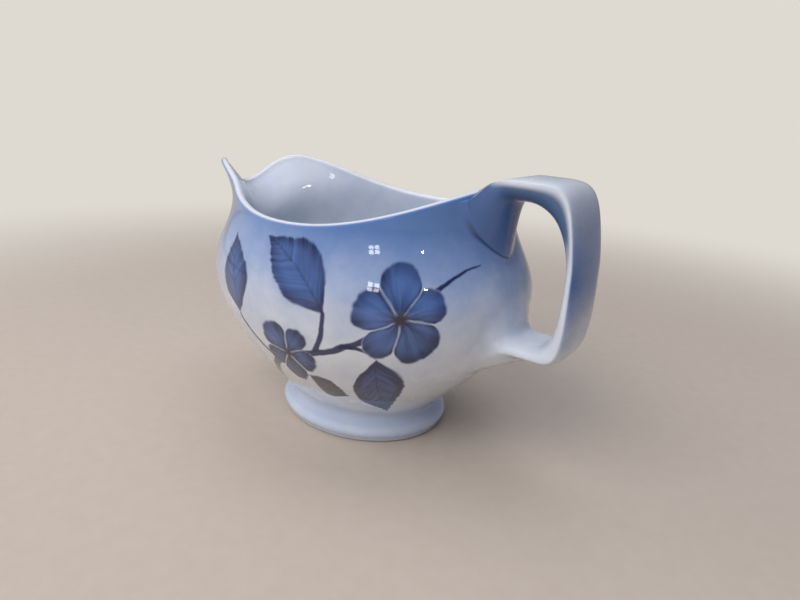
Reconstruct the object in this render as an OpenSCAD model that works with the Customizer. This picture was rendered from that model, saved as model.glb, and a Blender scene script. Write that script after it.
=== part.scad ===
// Porcelain cream jug: an oval bowl with a drawn-out pouring lip, an oval foot ring and a strap handle.
// The table top is z = 0 under the middle of the foot. The lip points to -X and the handle to +X.
// The pieces are joined with slip: thin lutes fill the seams under the bowl and behind the handle.

/* [Bowl] */
// Length of the bowl at its widest level
bowl_l = 101; // [94:1:110]
// Width of the bowl at its widest level
bowl_w = 80; // [74:1:88]
// Height of the widest level above the table
belly_h = 45; // [40:0.5:50]
// Length of the bowl at the waist, where it stands on the foot
waist_l = 46; // [40:1:50]
// Width of the bowl at the waist
waist_w = 38; // [34:1:42]
// Height of the waist
waist_h = 6.6; // [5:0.2:9]
// Length of the mouth at the neck, without the lip
neck_l = 87; // [80:1:92]
// Width of the mouth at the neck
neck_w = 69; // [64:1:73]
// Height of the neck, where the wall stops leaning in
neck_h = 66; // [60:0.5:70]
// Thickness of the wall
wall = 2.8; // [2:0.1:4]
// Thickness of the floor
floor_t = 3.2; // [2.5:0.1:5]

/* [Rim and lip] */
// Thickness of the rounded rim
rim_t = 2.2; // [1.6:0.1:2.8]
// Height of the rim at the two sides, its lowest stretch
rim_side_h = 63.5; // [60:0.1:67]
// Height of the rim at the handle
rim_back_h = 74.7; // [71:0.1:78]
// Height that the rim sweeps up to at the front
rim_front_h = 76; // [71:0.5:79]
// How late the rim sweeps up from the sides
rim_sweep = 2.2; // [2:0.1:3]
// Depth of the pouring lip between its two shoulders
lip_dip = 11; // [5:0.5:14]
// Half the angle that the pouring lip takes up
lip_half_angle = 33; // [26:1:40]
// Narrowness of the lip's floor: a large value draws it in between broad shoulders
lip_narrow = 2.2; // [1:0.1:3]
// How far the lip is drawn out beyond the neck
lip_reach = 15; // [6:0.5:18]
// Half the angle of the wall that is drawn out with the lip
flare_half_angle = 51; // [45:1:65]
// Share of the height above the belly where the flare begins
flare_start = 0.35; // [0.2:0.05:0.5]

/* [Foot ring] */
// Length of the foot where it stands
foot_l = 53; // [48:1:58]
// Width of the foot where it stands
foot_w = 45; // [40:1:49]
// How far the flank of the foot swells beyond where it stands
foot_swell = 1.2; // [0:0.1:1.5]
// Width of the flat land that touches the table
foot_land = 2.4; // [1.5:0.1:4]
// Radius of the rounded outer edge of the foot
foot_edge_r = 1.2; // [0.6:0.1:2]
// Width of the seat at the top of the foot
foot_seat = 5; // [3:0.2:7]

/* [Handle] */
// Width of the strap
strap_w = 16; // [14:0.5:20]
// How far the outer face is crowned along the top and the upright
strap_crown = 1.1; // [0.6:0.1:2]
// How far the outer face is crowned at the heel, under the lower arm
heel_crown = 1.8; // [1.2:0.1:3]
// Depth of the rounded inner face at the upright
upright_depth = 2.7; // [2:0.1:4]
// Depth of the rounded inner face at the top arm
top_arm_depth = 4.9; // [3.5:0.1:6]
// Depth of the rounded inner face at the lower arm
low_arm_depth = 2.6; // [2:0.1:4]
// Gap for the fingers between the belly and the upright
finger_gap = 13; // [10:0.5:18]
// How far the edge of the top arm stands above the rim
top_arm_rise = 2; // [0.5:0.1:4]
// Length of the top arm before it bends
top_arm_run = 8; // [6:0.5:9]
// Height of the edge of the lower arm
low_arm_h = 36.2; // [34:0.2:39]
// Length of the lower arm before it bends
low_arm_run = 9.4; // [7:0.2:10]
// Height at which the upright bulges out most
bulge_h = 58; // [55:0.5:62]
// How far the upright leans in towards its top
upright_lean = 2.9; // [0:0.1:4]
// Squareness of the upper bend
upper_bend_square = 6.6; // [4:0.1:8]
// Squareness of the lower bend
lower_bend_square = 4.3; // [3.4:0.1:5]
// Squareness of the inner bends
inner_bend_square = 2.4; // [2:0.1:2.8]
// Width of the upper root on the wall
upper_root_w = 25; // [22:0.5:29]
// Length of the pointed tongue below the rim
tongue_l = 17.2; // [13:0.2:20]
// Width of the lower root on the wall
lower_root_w = 21.6; // [19:0.2:25]
// Rise of the lower root above the edge of the lower arm
lower_root_rise = 8.2; // [6:0.2:10]
// Drop of the lower root below the edge of the lower arm
lower_root_drop = 9.8; // [7:0.2:11]

/* [Joints] */
// Thickness of the slip in each joint
lute_t = 0.4; // [0.3:0.05:0.8]
// Fitting gap on each side of a curved lute
lute_gap = 0.04; // [0.02:0.01:0.1]
// Gap between the upper root and the rounding of the rim
rim_gap = 0.4; // [0.2:0.1:1]

/* [Hidden] */

// Counts of points: around the bowl, up its wall, over its rim and around the strap
around = 72;
levels = 16;
rim_steps = 4;
strap_around = 32;
bend_step = 5;
root_steps = 7;
foot_steps = 6;
cap_shares = [0.35, 0.7];
floor_share = 0.5;

rim_r = rim_t / 2;
floor_z = waist_h + floor_t;
foot_top = waist_h - lute_t;
turns = [for (i = [0 : around - 1]) 360 * i / around];

// Mixes two numbers or points
function mix(a, b, t) = a + (b - a) * t;
// A list from its end to its start
function reversed(list) = [for (i = [len(list) - 1 : -1 : 0]) list[i]];
// A power that keeps the sign
function signed_pow(x, p) = sign(x) * pow(abs(x), p);

// Half of the bowl's size at height z, from its half sizes at the waist, belly and neck
function swell(z, waist, belly, neck) =
    z <= belly_h
    ? mix(waist, belly, sin(90 * (z - waist_h) / (belly_h - waist_h)))
    : mix(neck, belly, (1 + cos(180 * min(1, (z - belly_h) / (neck_h - belly_h)))) / 2);
function half_l(z) = swell(z, waist_l / 2, bowl_l / 2, neck_l / 2);
function half_w(z) = swell(z, waist_w / 2, bowl_w / 2, neck_w / 2);

// Angle from the middle of the lip, where turn a starts at the handle
function from_lip(a) = abs(a - 180);
// Height of the top of the rim at turn a
function rim_z(a) =
    let (rise = (cos(a) >= 0 ? rim_back_h : rim_front_h) - rim_side_h)
    let (dip = pow((1 + cos(180 * min(1, from_lip(a) / lip_half_angle))) / 2, lip_narrow))
    rim_side_h + rise * pow(abs(cos(a)), rim_sweep) - lip_dip * dip;
// Share by which the wall is drawn out towards the lip at turn a and height z
function flare(a, z) =
    let (up = (z - belly_h) / (rim_z(a) - rim_r - belly_h))
    let (share = max(0, (up - flare_start) / (1 - flare_start)))
    let (turn = cos(90 * min(1, from_lip(a) / flare_half_angle)))
    lip_reach / (neck_l / 2) * turn * turn * share * share;

// Point of the outer wall at turn a and height z, moved inwards by t
function wall_point(a, z, t = 0) =
    let (l = half_l(z), w = half_w(z), m = 1 + flare(a, z))
    let (n = [cos(a) / l, sin(a) / w])
    concat([l * cos(a), w * sin(a)] * m - n / norm(n) * t, z);
// How much a slanting wall is widened sideways so that it keeps its thickness
slant_step = wall / 5;
function slant(z) = sqrt(1 + pow((half_w(z + slant_step) - half_w(z - slant_step)) / (2 * slant_step), 2));
// Distance of the outer wall from the middle plane x = 0, on the handle side
function wall_x(y, z) = half_l(z) * sqrt(1 - pow(y / half_w(z), 2));

// Solid between two end points, wrapped around a stack of rings with the same number of points
module wrapped(first, rings, last) {
    n = len(rings[0]);
    count = len(rings);
    points = concat([first], [for (ring = rings) each ring], [last]);
    end = len(points) - 1;
    faces = concat(
        [for (i = [0 : n - 1]) [0, 1 + i, 1 + (i + 1) % n]],
        [for (r = [0 : count - 2], i = [0 : n - 1], side = [0, 1])
            let (a = 1 + r * n + i, b = 1 + r * n + (i + 1) % n)
            side == 0 ? [a, a + n, b] : [b, a + n, b + n]],
        [for (i = [0 : n - 1]) [end, end - n + (i + 1) % n, end - n + i]]);
    polyhedron(points, faces);
}

// Ring-shaped solid from a closed row of rings
module hooped(rings) {
    n = len(rings[0]);
    count = len(rings);
    faces = [for (r = [0 : count - 1], i = [0 : n - 1], side = [0, 1])
        let (next = (r + 1) % count)
        let (a = r * n + i, b = r * n + (i + 1) % n, c = next * n + i, d = next * n + (i + 1) % n)
        side == 0 ? [a, b, c] : [b, d, c]];
    polyhedron([for (ring = rings) each ring], faces);
}

// Oval ring of points
function oval(l, w, z) = [for (a = turns) [l / 2 * cos(a), w / 2 * sin(a), z]];

// The bowl: up the outside, over the rim and down the inside to the floor
function inner_t(a, z) =
    mix(wall * slant(z), rim_t, (z - floor_z) / (rim_z(a) - rim_r - floor_z));
function outside_ring(s) = [for (a = turns) wall_point(a, mix(waist_h, rim_z(a) - rim_r, s))];
function rim_ring(q) = [for (a = turns)
    wall_point(a, rim_z(a) - rim_r, rim_r * (1 - cos(q))) + [0, 0, rim_r * sin(q)]];
function inside_ring(s) = [for (a = turns)
    let (z = mix(floor_z, rim_z(a) - rim_r, s))
    wall_point(a, z, inner_t(a, z))];
function floor_ring(share) = [for (p = inside_ring(0)) [p.x * share, p.y * share, p.z]];

module bowl() {
    color("lightsteelblue")
        wrapped(
            [0, 0, waist_h],
            concat(
                [for (i = [0 : levels]) outside_ring(i / levels)],
                [for (i = [1 : rim_steps - 1]) rim_ring(180 * i / rim_steps)],
                [for (i = [levels : -1 : 0]) inside_ring(i / levels)],
                [floor_ring(floor_share)]),
            [0, 0, floor_z]);
}

// The foot: a rounded flank down from the waist, a flat land, and a sloping inner face
flank_flick = 0.7;
function foot_flank(s) =
    let (out = pow(sin(90 * s), flank_flick), swollen = 2 * foot_swell * sin(180 * s))
    oval(
        mix(waist_l, foot_l, out) + swollen,
        mix(waist_w, foot_w, out) + swollen,
        mix(foot_top, foot_edge_r, s));
function foot_round(q) =
    let (inset = 2 * foot_edge_r * (1 - cos(q)))
    oval(foot_l - inset, foot_w - inset, foot_edge_r * (1 - sin(q)));

module oval_plate(l, w) {
    polygon([for (p = oval(l, w, 0)) [p.x, p.y]]);
}

module foot_ring() {
    edge_inset = 2 * foot_edge_r;
    land_inset = 2 * (foot_edge_r + foot_land);
    color("aliceblue") {
        hooped(concat(
            [for (i = [0 : foot_steps]) foot_flank(i / foot_steps)],
            [for (i = [1 : rim_steps]) foot_round(90 * i / rim_steps)],
            [oval(foot_l - land_inset, foot_w - land_inset, 0)],
            [oval(waist_l - 2 * foot_seat, waist_w - 2 * foot_seat, foot_top)]));
        // The land is one flat ring, so that the foot rests on a true face
        linear_extrude(foot_edge_r)
            difference() {
                oval_plate(foot_l - edge_inset, foot_w - edge_inset);
                oval_plate(foot_l - land_inset, foot_w - land_inset);
            }
    }
}

module foot_lute() {
    color("white")
        hooped([
            oval(waist_l, waist_w, waist_h),
            oval(waist_l, waist_w, foot_top),
            oval(waist_l - 2 * foot_seat, waist_w - 2 * foot_seat, foot_top),
            oval(waist_l - 2 * foot_seat, waist_w - 2 * foot_seat, waist_h)]);
}

// The handle's edges run along two bends in the plane of the strap, and its inner face along two more
reach = bowl_l / 2 + finger_gap + upright_depth;
top_arm_h = rim_back_h + top_arm_rise;
top_x = neck_l / 2 + top_arm_run;
low_x = wall_x(0, low_arm_h) + lute_t + low_arm_run;
strap_turns = [for (i = [0 : strap_around - 1]) 360 * i / strap_around];

// Point at angle q of a squared quarter bend, where q = 0 lies along the second axis
function bend(q, square) =
    [sin(q), cos(q)] / pow(pow(sin(q), square) + pow(cos(q), square), 1 / square);
// The lean starts softly at the bulge, so that the upright has no corner there
lean_start = 1.4;
function upper_bend(q, square, depth_x, depth_z) =
    let (p = bend(q, square))
    let (lean = upright_lean * p.x * pow(p.y, lean_start))
    [top_x + (reach - depth_x - top_x) * p.x - lean, bulge_h + (top_arm_h - depth_z - bulge_h) * p.y];
function lower_bend(q, square, depth_x, depth_z) =
    let (p = bend(90 - q, square))
    [low_x + (reach - depth_x - low_x) * p.x, bulge_h - (bulge_h - low_arm_h - depth_z) * p.y];

// Ring of the strap between an edge point and an inner point of the plane y = 0
strap_square = 2.4;
heel_turn = 1.6;
function strap_ring(edge, inner, crown) =
    let (d = inner - edge)
    [for (q = strap_turns)
        let (across = signed_pow(cos(q), 2 / strap_square))
        let (deep = signed_pow(sin(q), 2 / strap_square))
        let (p = edge - d * deep * (deep > 0 ? crown / norm(d) : 1))
        [p.x, across * strap_w / 2, p.y]];
function upper_strap(q) = strap_ring(
    upper_bend(q, upper_bend_square, 0, 0),
    upper_bend(q, inner_bend_square, upright_depth, top_arm_depth),
    strap_crown);
function lower_strap(q) = strap_ring(
    lower_bend(q, lower_bend_square, 0, 0),
    lower_bend(q, inner_bend_square, upright_depth, low_arm_depth),
    mix(strap_crown, heel_crown, sin(min(90, q * heel_turn))));

// Outlines of the two roots on the wall, as points [y, z]
tongue_square = 1.5;
tongue_mid_share = 0.3;
lower_mid_share = 1 / 3;
function under_rim(y) = rim_z(asin(y / (neck_w / 2))) - rim_r - rim_gap;
upper_root_edge = under_rim(upper_root_w / 2);
tongue_tip = rim_back_h - tongue_l;
upper_root = [for (q = strap_turns)
    let (square = sin(q) >= 0 ? strap_square : tongue_square)
    let (y = signed_pow(cos(q), 2 / square) * upper_root_w / 2)
    let (deep = pow(abs(sin(q)), 2 / square))
    [y, sin(q) >= 0 ? under_rim(abs(y)) : mix(upper_root_edge, tongue_tip, deep)]];
upper_root_mid = [0, mix(upper_root_edge, tongue_tip, tongue_mid_share)];
lower_root = [for (q = strap_turns)
    let (y = signed_pow(cos(q), 2 / strap_square) * lower_root_w / 2)
    let (deep = signed_pow(sin(q), 2 / strap_square))
    [y, low_arm_h - deep * (deep > 0 ? lower_root_drop : lower_root_rise)]];
lower_root_mid = [0, low_arm_h + lower_root_rise * lower_mid_share];

// Root outline drawn in towards its middle, laid on the wall and lifted off it
function on_wall(outline, mid, share, lift) = [for (p = outline)
    let (q = mix(mid, p, share))
    [wall_x(q.x, q.y) + lift, q.x, q.y]];
function mid_on_wall(mid, lift) = [wall_x(mid.x, mid.y) + lift, mid.x, mid.y];
// Rings that narrow from the root to the strap, hollowed like a fillet by one power on the inner face of
// the strap and by another on its outer face
tongue_inner_hollow = 6.5;
tongue_outer_hollow = 2.2;
lower_inner_hollow = 9;
lower_outer_hollow = 1;
function root_rings(root, strap, inner_hollow, outer_hollow) = [for (i = [1 : root_steps - 1])
    let (t = i / root_steps)
    [for (k = [0 : strap_around - 1])
        let (hollow = mix(inner_hollow, outer_hollow, (1 + sin(strap_turns[k])) / 2))
        let (spread = pow(1 - t, hollow), from = strap[k], to = root[k])
        [mix(to.x, from.x, t), mix(from.y, to.y, spread), mix(from.z, to.z, spread)]]];

handle_lift = lute_t + 2 * lute_gap;

module handle() {
    upper_end = on_wall(upper_root, upper_root_mid, 1, handle_lift);
    lower_end = on_wall(lower_root, lower_root_mid, 1, handle_lift);
    lower_rings = root_rings(lower_end, lower_strap(90), lower_inner_hollow, lower_outer_hollow);
    color("slategray")
        wrapped(
            mid_on_wall(upper_root_mid, handle_lift),
            concat(
                [for (s = cap_shares) on_wall(upper_root, upper_root_mid, s, handle_lift)],
                [upper_end],
                root_rings(upper_end, upper_strap(0), tongue_inner_hollow, tongue_outer_hollow),
                [for (q = [0 : bend_step : 90]) upper_strap(q)],
                [for (q = [bend_step : bend_step : 90]) lower_strap(q)],
                reversed(lower_rings),
                [lower_end],
                [for (s = reversed(cap_shares)) on_wall(lower_root, lower_root_mid, s, handle_lift)]),
            mid_on_wall(lower_root_mid, handle_lift));
}

// A lute: a thin sheet of slip on the wall, with the outline of a root
module lute(outline, mid) {
    shares = concat(cap_shares, [1]);
    inside = lute_gap;
    outside = lute_gap + lute_t;
    wrapped(
        mid_on_wall(mid, inside),
        concat(
            [for (s = shares) on_wall(outline, mid, s, inside)],
            [for (s = reversed(shares)) on_wall(outline, mid, s, outside)]),
        mid_on_wall(mid, outside));
}

module upper_handle_lute() {
    color("white") lute(upper_root, upper_root_mid);
}

module lower_handle_lute() {
    color("white") lute(reversed(lower_root), lower_root_mid);
}

bowl();
foot_ring();
handle();
foot_lute();
upper_handle_lute();
lower_handle_lute();
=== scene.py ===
# %% [markdown]
# # A porcelain cream jug
# This lesson dresses a small cream jug: an oval bowl with a drawn-out pouring lip, a low foot ring and a
# wide strap handle, all under one clear glossy glaze. The solid model comes in as a fixed frame, and each
# step below makes one piece or one finish on top of it. Lengths are written in millimetres, as a potter
# would note them, and turned into metres only when a mesh is made.

# %% Load the frame
from functools import partial

import bmesh
import bpy
import numpy as np
from mathutils import Matrix, Vector


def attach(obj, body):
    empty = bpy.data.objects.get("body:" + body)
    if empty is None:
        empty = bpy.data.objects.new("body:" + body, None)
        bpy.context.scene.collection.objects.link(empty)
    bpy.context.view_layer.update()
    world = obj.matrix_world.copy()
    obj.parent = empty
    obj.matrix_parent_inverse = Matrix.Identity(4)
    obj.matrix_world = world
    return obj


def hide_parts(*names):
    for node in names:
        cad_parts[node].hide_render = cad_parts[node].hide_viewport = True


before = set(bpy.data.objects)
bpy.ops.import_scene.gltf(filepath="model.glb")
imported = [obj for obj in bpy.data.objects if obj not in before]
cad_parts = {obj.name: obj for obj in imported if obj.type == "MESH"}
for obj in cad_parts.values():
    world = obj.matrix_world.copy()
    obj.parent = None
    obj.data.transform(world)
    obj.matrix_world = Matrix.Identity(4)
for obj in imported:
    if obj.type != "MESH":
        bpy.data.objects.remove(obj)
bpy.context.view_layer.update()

MM = 0.001
print("nodes in the frame:", sorted(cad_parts))

# %% [markdown]
# ## The sizes of the jug
# The bowl is an oval that swells from a narrow waist to a wide belly and leans in again to the neck. Its
# rim rises at the handle and at the front, where a valley between two shoulders makes the lip. The same
# few sizes drive the solid model, so the fine meshes made here lie exactly on its faces.

# %% Sizes of the bowl, the rim and the lip
BOWL_L, BOWL_W, BELLY_H = 101.0, 80.0, 45.0
WAIST_L, WAIST_W, WAIST_H = 46.0, 38.0, 6.6
NECK_L, NECK_W, NECK_H = 87.0, 69.0, 66.0
WALL, FLOOR_T, RIM_T = 2.8, 3.2, 2.2
RIM_SIDE_H, RIM_BACK_H, RIM_FRONT_H, RIM_SWEEP = 63.5, 74.7, 76.0, 2.2
LIP_DIP, LIP_HALF_ANGLE, LIP_NARROW, LIP_REACH = 11.0, np.radians(33.0), 2.2, 15.0
FLARE_HALF_ANGLE, FLARE_START = np.radians(51.0), 0.35
RIM_R = RIM_T / 2
FLOOR_Z = WAIST_H + FLOOR_T
LUTE_T, LUTE_GAP, RIM_GAP = 0.4, 0.04, 0.4
print("bowl", BOWL_L, "by", BOWL_W, "mm, rim at the handle", RIM_BACK_H, "mm high")


# %% [markdown]
# ## The shape of the wall as formulas
# A thrown or cast pot has no straight lines to measure, but its outline is smooth, so a sine from waist to
# belly and half a cosine wave from belly to neck describe it well. Writing the wall as a function of the
# turn (the angle around, zero at the handle) and the height means that the bowl, the roots of the handle
# and the painting can all ask where the wall is, and nothing has to be fitted by eye.

# %% The wall
def mix(a, b, t):
    return a + (b - a) * t


def signed_pow(x, power):
    return np.sign(x) * np.abs(x) ** power


def swell(z, waist, belly, neck):
    low = mix(waist, belly, np.sin(np.pi / 2 * (z - WAIST_H) / (BELLY_H - WAIST_H)))
    lean = np.minimum(1.0, (z - BELLY_H) / (NECK_H - BELLY_H))
    high = mix(neck, belly, (1 + np.cos(np.pi * lean)) / 2)
    return np.where(z <= BELLY_H, low, high)


def half_l(z):
    return swell(z, WAIST_L / 2, BOWL_L / 2, NECK_L / 2)


def half_w(z):
    return swell(z, WAIST_W / 2, BOWL_W / 2, NECK_W / 2)


def rim_z(turn):
    from_lip = np.abs(turn - np.pi)
    rise = np.where(np.cos(turn) >= 0, RIM_BACK_H, RIM_FRONT_H) - RIM_SIDE_H
    dip = ((1 + np.cos(np.pi * np.minimum(1.0, from_lip / LIP_HALF_ANGLE))) / 2) ** LIP_NARROW
    return RIM_SIDE_H + rise * np.abs(np.cos(turn)) ** RIM_SWEEP - LIP_DIP * dip


def flare(turn, z):
    up = (z - BELLY_H) / (rim_z(turn) - RIM_R - BELLY_H)
    share = np.maximum(0.0, (up - FLARE_START) / (1 - FLARE_START))
    pull = np.cos(np.pi / 2 * np.minimum(1.0, np.abs(turn - np.pi) / FLARE_HALF_ANGLE))
    return LIP_REACH / (NECK_L / 2) * pull**2 * share**2


def wall_point(turn, z, inwards=0.0):
    turn, z, inwards = np.broadcast_arrays(turn, z, inwards)
    long, wide = half_l(z), half_w(z)
    grow = 1 + flare(turn, z)
    nx, ny = np.cos(turn) / long, np.sin(turn) / wide
    size = np.hypot(nx, ny)
    x = long * np.cos(turn) * grow - nx / size * inwards
    y = wide * np.sin(turn) * grow - ny / size * inwards
    return np.stack([x, y, z], axis=-1)


def wall_x(y, z):
    return half_l(z) * np.sqrt(1 - (y / half_w(z)) ** 2)


print("lip reaches x =", round(float(wall_point(np.pi, rim_z(np.pi) - RIM_R)[0]), 1), "mm")


# %% [markdown]
# ## Skinning rings into a mesh
# Every piece of the jug is a row of rings: around the bowl, around the foot, around the strap. One helper
# joins neighbouring rings with quads and can close the ends with a fan. It also stores named values at the
# points, such as the distance below the rim, which the materials read later. Stored values are better than
# a picture texture here, because they follow the form exactly and need no unwrapping.

# %% A skin over rings
def skin(name, rings, first=None, last=None, hoop=False, marks=None, creases=()):
    rings = np.asarray(rings, float)
    rows, count = rings.shape[:2]
    points = rings.reshape(-1, 3)
    faces = []
    for row in range(rows if hoop else rows - 1):
        after = (row + 1) % rows
        for i in range(count):
            j = (i + 1) % count
            faces.append((row * count + i, row * count + j, after * count + j, after * count + i))
    for end, row in ((first, 0), (last, rows - 1)):
        if end is not None:
            points = np.vstack([points, end])
            tip = len(points) - 1
            faces += [(tip, row * count + i, row * count + (i + 1) % count) for i in range(count)]
    mesh = bpy.data.meshes.new(name)
    mesh.from_pydata((points * MM).tolist(), [], faces)
    for mark, values in (marks or {}).items():
        flat = np.zeros(len(points), np.float32)
        flat[: rows * count] = np.broadcast_to(values, (rows, count)).ravel()
        store = mesh.attributes.new(mark, "FLOAT", "POINT")
        store.data.foreach_set("value", flat)
    work = bmesh.new()
    work.from_mesh(mesh)
    bmesh.ops.recalc_face_normals(work, faces=work.faces)
    for edge in work.edges:
        row, other = (vertex.index // count for vertex in edge.verts)
        edge.smooth = not (row == other and row in creases)
    work.to_mesh(mesh)
    work.free()
    mesh.polygons.foreach_set("use_smooth", [True] * len(mesh.polygons))
    piece = bpy.data.objects.new(name, mesh)
    bpy.context.scene.collection.objects.link(piece)
    print(name, "has", len(mesh.vertices), "points and", len(mesh.polygons), "faces")
    return piece


def settle(piece, slot, *nodes):
    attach(piece, "root")
    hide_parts(*nodes)


# %% [markdown]
# ## The handle's path
# The handle is a flat strap with soft edges. It leaves the wall under the rim with a pointed tongue, runs
# level, turns down in a squared bend, and comes back to the wall in a broad low lobe. A squared quarter
# bend (a superellipse) gives the tight yet soft corners that a pressed strap has. The path is worked out
# before the bowl, because pooled glaze and a painted crease shade lie on the bowl along the tongue's
# outline.

# %% Sizes of the handle
STRAP_W, STRAP_CROWN, HEEL_CROWN = 16.0, 1.1, 1.8
UPRIGHT_DEPTH, TOP_ARM_DEPTH, LOW_ARM_DEPTH = 2.7, 4.9, 2.6
FINGER_GAP, TOP_ARM_RISE, TOP_ARM_RUN = 13.0, 2.0, 8.0
LOW_ARM_H, LOW_ARM_RUN = 36.2, 9.4
BULGE_H, UPRIGHT_LEAN, LEAN_START = 58.0, 2.9, 1.4
UPPER_SQUARE, LOWER_SQUARE, INNER_SQUARE = 6.6, 4.3, 2.4
UPPER_ROOT_W, TONGUE_L = 25.0, 17.2
LOWER_ROOT_W, LOWER_ROOT_RISE, LOWER_ROOT_DROP = 21.6, 8.2, 9.8
STRAP_SQUARE, TONGUE_SQUARE, HEEL_TURN = 2.4, 1.5, 1.6
TONGUE_INNER_HOLLOW, TONGUE_OUTER_HOLLOW = 6.5, 2.2
LOWER_INNER_HOLLOW, LOWER_OUTER_HOLLOW = 9.0, 1.0
TONGUE_MID, LOWER_MID = 0.3, 1 / 3
REACH = BOWL_L / 2 + FINGER_GAP + UPRIGHT_DEPTH
TOP_ARM_H = RIM_BACK_H + TOP_ARM_RISE
TOP_X = NECK_L / 2 + TOP_ARM_RUN
LOW_X = float(wall_x(0.0, LOW_ARM_H)) + LUTE_T + LOW_ARM_RUN
HANDLE_LIFT = LUTE_T + 2 * LUTE_GAP
STRAP_AROUND = 96
strap_turns = 2 * np.pi * np.arange(STRAP_AROUND) / STRAP_AROUND
print("the upright stands", round(REACH, 1), "mm from the middle of the jug")


# %% The strap's rings
def bend(q, square):
    s, c = max(0.0, np.sin(q)), max(0.0, np.cos(q))
    return np.array([s, c]) / (s**square + c**square) ** (1 / square)


def upper_bend(q, square, depth_x, depth_z):
    px, pz = bend(q, square)
    x = TOP_X + (REACH - depth_x - TOP_X) * px - UPRIGHT_LEAN * px * pz**LEAN_START
    return np.array([x, BULGE_H + (TOP_ARM_H - depth_z - BULGE_H) * pz])


def lower_bend(q, square, depth_x, depth_z):
    px, pz = bend(np.pi / 2 - q, square)
    x = LOW_X + (REACH - depth_x - LOW_X) * px
    return np.array([x, BULGE_H - (BULGE_H - LOW_ARM_H - depth_z) * pz])


def strap_ring(edge, inner, crown):
    inward = inner - edge
    across = signed_pow(np.cos(strap_turns), 2 / STRAP_SQUARE)
    deep = signed_pow(np.sin(strap_turns), 2 / STRAP_SQUARE)
    share = deep * np.where(deep > 0, crown / np.hypot(*inward), 1.0)
    x = edge[0] - inward[0] * share
    z = edge[1] - inward[1] * share
    return np.stack([x, across * STRAP_W / 2, z], axis=-1)


def upper_strap(q):
    edge = upper_bend(q, UPPER_SQUARE, 0.0, 0.0)
    inner = upper_bend(q, INNER_SQUARE, UPRIGHT_DEPTH, TOP_ARM_DEPTH)
    return strap_ring(edge, inner, STRAP_CROWN)


def lower_strap(q):
    edge = lower_bend(q, LOWER_SQUARE, 0.0, 0.0)
    inner = lower_bend(q, INNER_SQUARE, UPRIGHT_DEPTH, LOW_ARM_DEPTH)
    crown = mix(STRAP_CROWN, HEEL_CROWN, np.sin(min(np.pi / 2, q * HEEL_TURN)))
    return strap_ring(edge, inner, crown)


print("the upright is", STRAP_W, "mm wide and", round(UPRIGHT_DEPTH + STRAP_CROWN, 1), "mm thick")


# %% The outlines of the two roots on the wall
def under_rim(y):
    return rim_z(np.arcsin(np.abs(y) / (NECK_W / 2))) - RIM_R - RIM_GAP


upper_edge = float(under_rim(UPPER_ROOT_W / 2))
tongue_tip = RIM_BACK_H - TONGUE_L
upper_half = np.sin(strap_turns) >= 0
square = np.where(upper_half, STRAP_SQUARE, TONGUE_SQUARE)
upper_y = signed_pow(np.cos(strap_turns), 2 / square) * UPPER_ROOT_W / 2
tongue_z = mix(upper_edge, tongue_tip, np.abs(np.sin(strap_turns)) ** (2 / square))
upper_root = np.stack([upper_y, np.where(upper_half, under_rim(upper_y), tongue_z)], axis=-1)
upper_mid = np.array([0.0, mix(upper_edge, tongue_tip, TONGUE_MID)])

lower_deep = signed_pow(np.sin(strap_turns), 2 / STRAP_SQUARE)
lower_y = signed_pow(np.cos(strap_turns), 2 / STRAP_SQUARE) * LOWER_ROOT_W / 2
lower_z = LOW_ARM_H - lower_deep * np.where(lower_deep > 0, LOWER_ROOT_DROP, LOWER_ROOT_RISE)
lower_root = np.stack([lower_y, lower_z], axis=-1)
lower_mid = np.array([0.0, LOW_ARM_H + LOWER_ROOT_RISE * LOWER_MID])


def on_wall(outline, mid, share, lift):
    y, z = np.moveaxis(mix(mid, outline, share), -1, 0)
    return np.stack([wall_x(y, z) + lift, y, z], axis=-1)


print("tongue tip at", round(tongue_tip, 1), "mm, lower root from", lower_z.min(), "to", lower_z.max(), "mm")


# %% [markdown]
# ## The bowl
# The real bowl is one thin shell, cast in a mould and wiped to a round edge at the rim. It could be lathed
# and pulled out of round, but the oval, the sweeping rim and the lip all change with the turn, so rings
# from the wall formula are more faithful. The rings climb the outside, roll over the rim and go down the
# inside to the floor. Two marks are stored for the glaze: the distance below the rim (negative inside) and
# the nearness of the handle's tongue, where glaze gathers and a painted crease shade is laid.

# %% The rings of the bowl
AROUND, LEVELS, RIM_STEPS, FLOOR_STEPS = 240, 56, 14, 8
CENTRE_SHARE, UNDER_EDGE, FLOOR_EDGE = 0.04, 0.98, 0.97
SLANT_STEP = WALL / 5
turns = 2 * np.pi * np.arange(AROUND) / AROUND
top = rim_z(turns) - RIM_R


def slant(z):
    run = half_w(z + SLANT_STEP) - half_w(z - SLANT_STEP)
    return np.sqrt(1 + (run / (2 * SLANT_STEP)) ** 2)


def inner_t(z):
    return mix(WALL * slant(z), RIM_T, (z - FLOOR_Z) / (top - FLOOR_Z))


def inside_ring(share):
    z = mix(FLOOR_Z, top, share)
    return wall_point(turns, z, inner_t(z))


def rim_ring(roll):
    return wall_point(turns, top, RIM_R * (1 - np.cos(roll))) + [0, 0, RIM_R * np.sin(roll)]


under_shares = np.linspace(CENTRE_SHARE, UNDER_EDGE, FLOOR_STEPS)
underside = [wall_point(turns, WAIST_H) * [s, s, 1] for s in under_shares]
outside = [wall_point(turns, mix(WAIST_H, top, s)) for s in np.linspace(0, 1, LEVELS + 1)]
rim = [rim_ring(roll) for roll in np.pi * np.arange(1, RIM_STEPS) / RIM_STEPS]
inside = [inside_ring(s) for s in np.linspace(1, 0, LEVELS + 1)]
floor = [inside[-1] * [s, s, 1] for s in np.linspace(FLOOR_EDGE, CENTRE_SHARE, FLOOR_STEPS)]
bowl_rings = np.array(underside + outside + rim + inside + floor)
print("the bowl is", len(bowl_rings), "rings of", AROUND, "points")

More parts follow.
